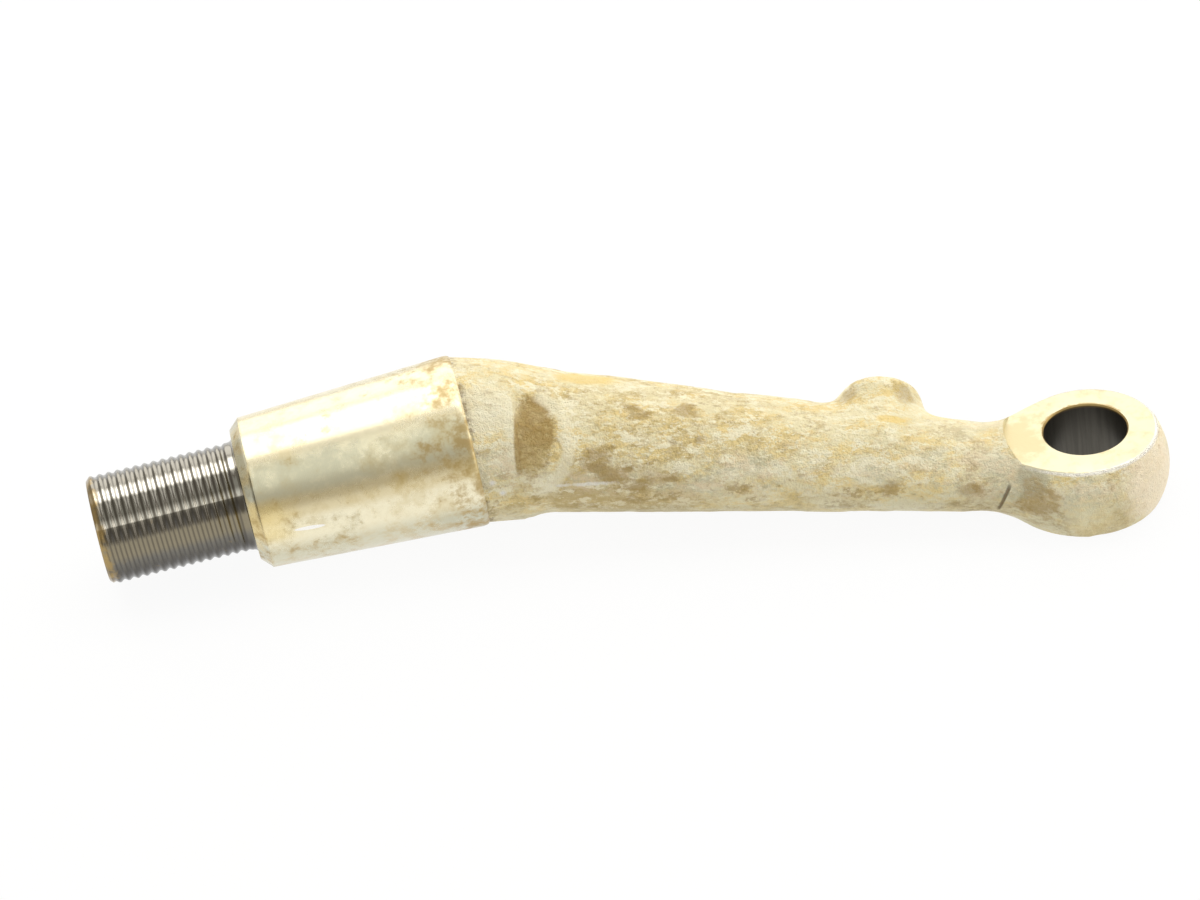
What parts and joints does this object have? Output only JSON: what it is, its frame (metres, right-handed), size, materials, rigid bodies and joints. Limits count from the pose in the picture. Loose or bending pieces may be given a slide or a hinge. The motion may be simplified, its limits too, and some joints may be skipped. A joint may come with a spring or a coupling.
{
  "type": "steering arm",
  "caption": "Forged steering arm: a threaded stud and a taper shank at one end, a bent oval beam with a stop boss, and a ball-shaped eye with a cross bore at the other",
  "frame": {"origin": "the middle of the eye's bore, on its axis and halfway through the eye", "axes": "+Z is the bore's axis, out of the eye's upper face; the arm reaches from the eye towards -X, and the beam's stop boss stands on its +Y side"},
  "size_m": [0.2339, 0.0533, 0.038],
  "materials": {
    "plated_steel": "forged steel, yellow zinc plated, turned on the taper shank and faced on the eye, stained and lightly rusted"
  },
  "bodies": {
    "root": {"steering_arm": "plated_steel"}
  },
  "joints": []
}
